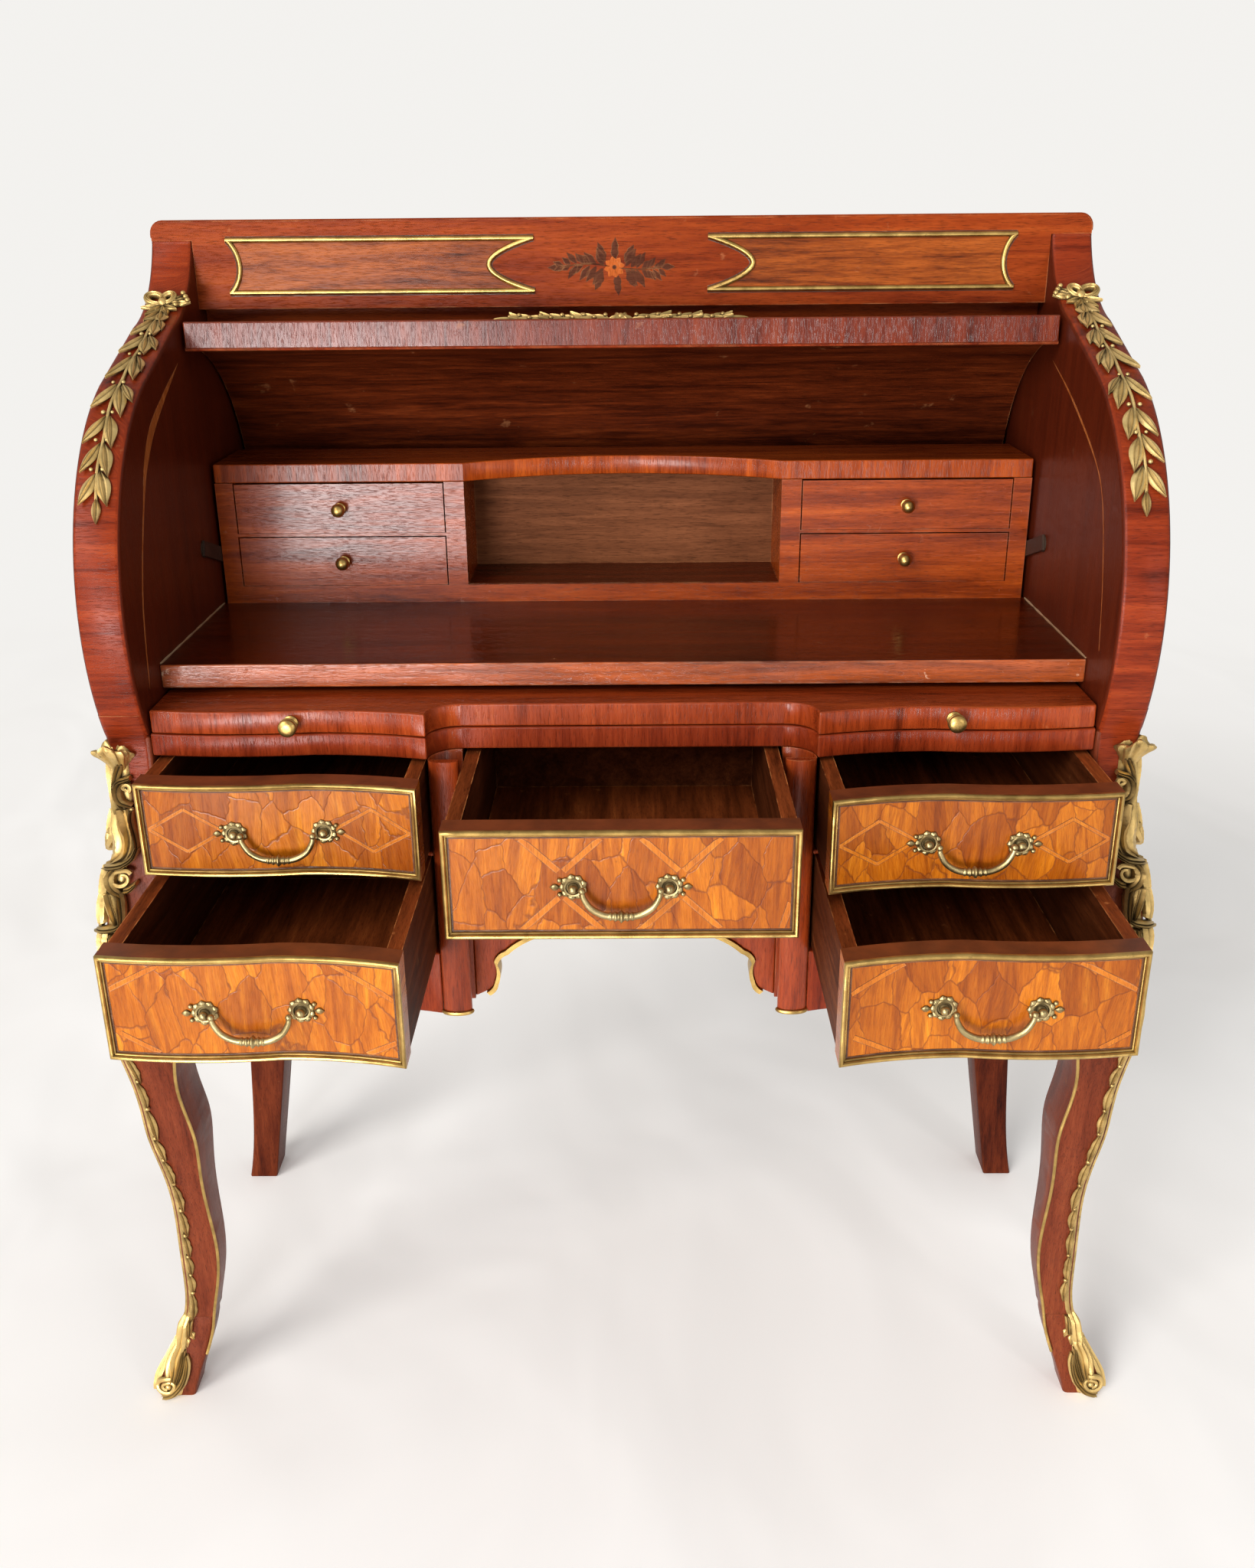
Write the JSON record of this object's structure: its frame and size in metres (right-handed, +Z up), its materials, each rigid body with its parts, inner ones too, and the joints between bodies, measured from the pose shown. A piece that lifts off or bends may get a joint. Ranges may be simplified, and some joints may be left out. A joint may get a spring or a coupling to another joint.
{
  "type": "cylinder desk",
  "caption": "Cylinder desk with a roll-back lid over an inner fitment, a pull-out writing slide, bow-fronted pedestal drawers with hanging bails, and cabriole legs with gilt mounts.",
  "frame": {"origin": "centre of the footprint of the whole desk at rest, on the floor", "axes": "+X to the sitter's right, +Y to the back of the desk, +Z up"},
  "size_m": [0.9506, 0.621, 1.1],
  "materials": {
    "case_wood": "polished kingwood and mahogany veneer",
    "leg_wood": "polished veneered cabriole leg",
    "frieze_wood": "polished rosewood veneer with inlaid spray",
    "frame_wood": "plain stained carcass timber",
    "interior_wood": "polished mahogany veneer",
    "fitment_wood": "polished mahogany veneer",
    "lid_wood": "ribbon-striped veneer",
    "front_wood": "polished tulipwood parquetry",
    "drawer_wood": "oiled drawer lining timber",
    "bronze": "cast and chased gilt bronze",
    "brass": "aged polished brass",
    "steel": "dull iron"
  },
  "bodies": {
    "carcass": {"left_side": "case_wood", "right_side": "case_wood", "top_board": "case_wood", "slide_rail": "case_wood", "case_rails": "case_wood", "left_divider": "case_wood", "right_divider": "case_wood", "kneehole_apron": "case_wood", "front_leg_left": "leg_wood", "front_leg_right": "leg_wood", "back_leg_left": "leg_wood", "back_leg_right": "leg_wood", "frieze_rail": "frieze_wood", "back_panel": "frame_wood", "pedestal_bottoms": "frame_wood", "drawer_runners": "frame_wood", "desk_board": "interior_wood", "fitment_top": "fitment_wood", "fitment_frame": "fitment_wood", "sabots": "bronze", "leg_strips": "bronze", "knee_mounts": "bronze", "garlands": "bronze", "frieze_mouldings": "brass", "brass_edging": "brass", "lid_pivots": "steel"},
    "lid": {"lid_panel": "lid_wood", "lid_rail": "lid_wood", "lid_mount": "bronze", "lid_arms": "steel"},
    "slide": {"writing_slide": "case_wood", "slide_knobs": "brass"},
    "drawer_upper_left": {"upper_left_front": "front_wood", "upper_left_box": "drawer_wood", "upper_left_mounts": "brass"},
    "bail_upper_left": {"upper_left_bail": "brass"},
    "drawer_lower_left": {"lower_left_front": "front_wood", "lower_left_box": "drawer_wood", "lower_left_mounts": "brass"},
    "bail_lower_left": {"lower_left_bail": "brass"},
    "drawer_upper_right": {"upper_right_front": "front_wood", "upper_right_box": "drawer_wood", "upper_right_mounts": "brass"},
    "bail_upper_right": {"upper_right_bail": "brass"},
    "drawer_lower_right": {"lower_right_front": "front_wood", "lower_right_box": "drawer_wood", "lower_right_mounts": "brass"},
    "bail_lower_right": {"lower_right_bail": "brass"},
    "drawer_centre": {"centre_front": "front_wood", "centre_box": "drawer_wood", "centre_mounts": "brass"},
    "bail_centre": {"centre_bail": "brass"},
    "small_lower_left": {"small_drawer_lower_left": "fitment_wood", "knob_lower_left": "brass"},
    "small_upper_left": {"small_drawer_upper_left": "fitment_wood", "knob_upper_left": "brass"},
    "small_lower_right": {"small_drawer_lower_right": "fitment_wood", "knob_lower_right": "brass"},
    "small_upper_right": {"small_drawer_upper_right": "fitment_wood", "knob_upper_right": "brass"}
  },
  "joints": [
    {"name": "lid_roll", "type": "hinge", "parent": "carcass", "child": "lid", "pos_m": [0, 0.0955, 0.813], "axis": [1, 0, 0], "range_deg": [0, 117]},
    {"name": "slide_pull", "type": "slide", "parent": "carcass", "child": "slide", "axis": [0, -1, 0], "range_m": [0, 0.25]},
    {"name": "upper_left_pull", "type": "slide", "parent": "carcass", "child": "drawer_upper_left", "axis": [0, -1, 0], "range_m": [-0.057, 0.173]},
    {"name": "upper_left_bail_swing", "type": "hinge", "parent": "drawer_upper_left", "child": "bail_upper_left", "pos_m": [-0.27775, -0.1815, 0.639], "axis": [-1, 0, 0], "range_deg": [0, 85]},
    {"name": "lower_left_pull", "type": "slide", "parent": "carcass", "child": "drawer_lower_left", "axis": [0, -1, 0], "range_m": [-0.181, 0.049]},
    {"name": "lower_left_bail_swing", "type": "hinge", "parent": "drawer_lower_left", "child": "bail_lower_left", "pos_m": [-0.27775, -0.3055, 0.5465], "axis": [-1, 0, 0], "range_deg": [0, 85]},
    {"name": "upper_right_pull", "type": "slide", "parent": "carcass", "child": "drawer_upper_right", "axis": [0, -1, 0], "range_m": [-0.086, 0.144]},
    {"name": "upper_right_bail_swing", "type": "hinge", "parent": "drawer_upper_right", "child": "bail_upper_right", "pos_m": [0.27775, -0.2105, 0.639], "axis": [-1, 0, 0], "range_deg": [0, 85]},
    {"name": "lower_right_pull", "type": "slide", "parent": "carcass", "child": "drawer_lower_right", "axis": [0, -1, 0], "range_m": [-0.182, 0.048]},
    {"name": "lower_right_bail_swing", "type": "hinge", "parent": "drawer_lower_right", "child": "bail_lower_right", "pos_m": [0.27775, -0.3065, 0.5465], "axis": [-1, 0, 0], "range_deg": [0, 85]},
    {"name": "centre_pull", "type": "slide", "parent": "carcass", "child": "drawer_centre", "axis": [0, -1, 0], "range_m": [-0.167, 0.063]},
    {"name": "centre_bail_swing", "type": "hinge", "parent": "drawer_centre", "child": "bail_centre", "pos_m": [0, -0.2745, 0.6345], "axis": [-1, 0, 0], "range_deg": [0, 85]},
    {"name": "small_lower_left_pull", "type": "slide", "parent": "carcass", "child": "small_lower_left", "axis": [0, -1, 0], "range_m": [0, 0.06]},
    {"name": "small_upper_left_pull", "type": "slide", "parent": "carcass", "child": "small_upper_left", "axis": [0, -1, 0], "range_m": [0, 0.06]},
    {"name": "small_lower_right_pull", "type": "slide", "parent": "carcass", "child": "small_lower_right", "axis": [0, -1, 0], "range_m": [0, 0.06]},
    {"name": "small_upper_right_pull", "type": "slide", "parent": "carcass", "child": "small_upper_right", "axis": [0, -1, 0], "range_m": [0, 0.06]}
  ]
}
